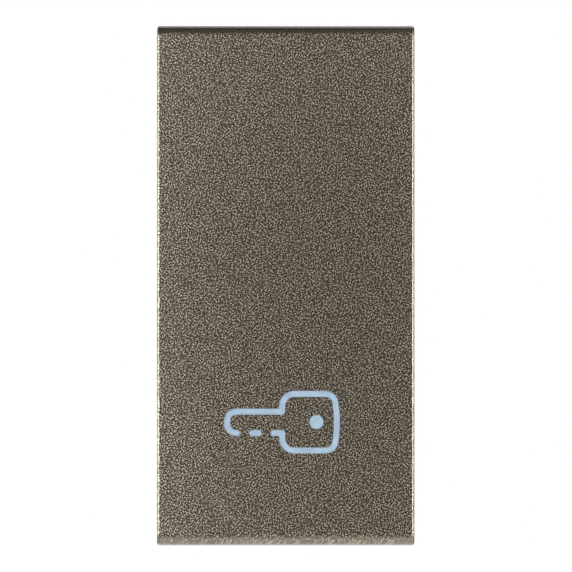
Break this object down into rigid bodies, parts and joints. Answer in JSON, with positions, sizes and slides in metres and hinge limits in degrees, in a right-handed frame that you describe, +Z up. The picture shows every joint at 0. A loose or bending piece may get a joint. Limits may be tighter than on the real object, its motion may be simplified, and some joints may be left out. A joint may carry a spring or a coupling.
{
  "type": "illuminated push button switch",
  "caption": "Illuminated push button module with a tall rectangular cap, a lit key symbol, a snap-in frame and a rear box with screw terminals.",
  "frame": {"origin": "centre of the module on the seat plane, where the rear of the flange's seat pads rests on the mounting frame", "axes": "+X to the right of a user who faces the button, +Z up, the button faces -Y and is pressed along +Y"},
  "size_m": [0.0222, 0.0326, 0.0448],
  "materials": {
    "cap_metallic": "satin metallic bronze paint on a moulded cap",
    "symbol_clear": "translucent pale blue, lit from behind",
    "moving_plastic": "moulded, matt",
    "plunger_plastic": "moulded, matt",
    "frame_plastic": "fine matt",
    "pad_rubber": "soft, matt",
    "housing_plastic": "fine matt",
    "insulator_plastic": "moulded, matt",
    "contact_brass": "stamped sheet",
    "clamp_steel": "plated",
    "screw_steel": "plated",
    "lever_bronze": "stamped spring bronze",
    "silver_contact": "silver alloy",
    "spring_wire": "drawn wire",
    "holder_plastic": "white, matt",
    "board_laminate": "laminate with solder mask",
    "led_body": "clear casting",
    "resistor_body": "lacquered",
    "diode_body": "moulded",
    "pin_brass": "tinned",
    "guide_clear": "clear moulded"
  },
  "bodies": {
    "base": {"front_frame": "frame_plastic", "damping_pads": "pad_rubber", "rear_housing": "housing_plastic", "insulating_plate": "insulator_plastic", "common_contact": "contact_brass", "fixed_contact": "contact_brass", "lamp_contact_left": "contact_brass", "lamp_contact_right": "contact_brass", "clamp_plates": "clamp_steel", "terminal_screws": "screw_steel", "fixed_contact_tip": "silver_contact", "return_spring": "spring_wire", "contact_spring": "spring_wire", "lamp_holder": "holder_plastic", "lamp_board": "board_laminate", "led": "led_body", "series_resistor": "resistor_body", "rectifier_diode": "diode_body", "lamp_pins": "pin_brass", "light_guide": "guide_clear"},
    "button": {"button_cap": "cap_metallic", "symbol_inlay": "symbol_clear", "carriage": "moving_plastic", "plunger": "plunger_plastic"},
    "upper_wire": {"equalizer_wire_upper": "spring_wire"},
    "lower_wire": {"equalizer_wire_lower": "spring_wire"},
    "lever": {"contact_lever": "lever_bronze", "lever_tip": "silver_contact"}
  },
  "joints": [
    {"name": "button_press", "type": "slide", "parent": "base", "child": "button", "axis": [0, 1, 0], "range_m": [0, 0.0016], "stiffness_N_per_m": 300, "springref_m": -0.008, "deforming": ["return_spring", "contact_spring"]},
    {"name": "upper_equalizer_turn", "type": "hinge", "parent": "base", "child": "upper_wire", "pos_m": [0, -0.0026, 0.0169], "axis": [1, 0, 0], "range_deg": [0, 10.8]},
    {"name": "lower_equalizer_turn", "type": "hinge", "parent": "base", "child": "lower_wire", "pos_m": [0, -0.0026, -0.0169], "axis": [1, 0, 0], "range_deg": [-10.8, 0]},
    {"name": "contact_close", "type": "hinge", "parent": "base", "child": "lever", "pos_m": [-0.0032, 0.0081, 0.018], "axis": [1, 0, 0], "range_deg": [0, 11.46]}
  ],
  "couplings": [
    {"joint": "upper_equalizer_turn", "follows": "button_press", "rad_per_m": 117.8},
    {"joint": "lower_equalizer_turn", "follows": "button_press", "rad_per_m": -117.8},
    {"joint": "contact_close", "follows": "button_press", "rad_per_m": 125}
  ]
}
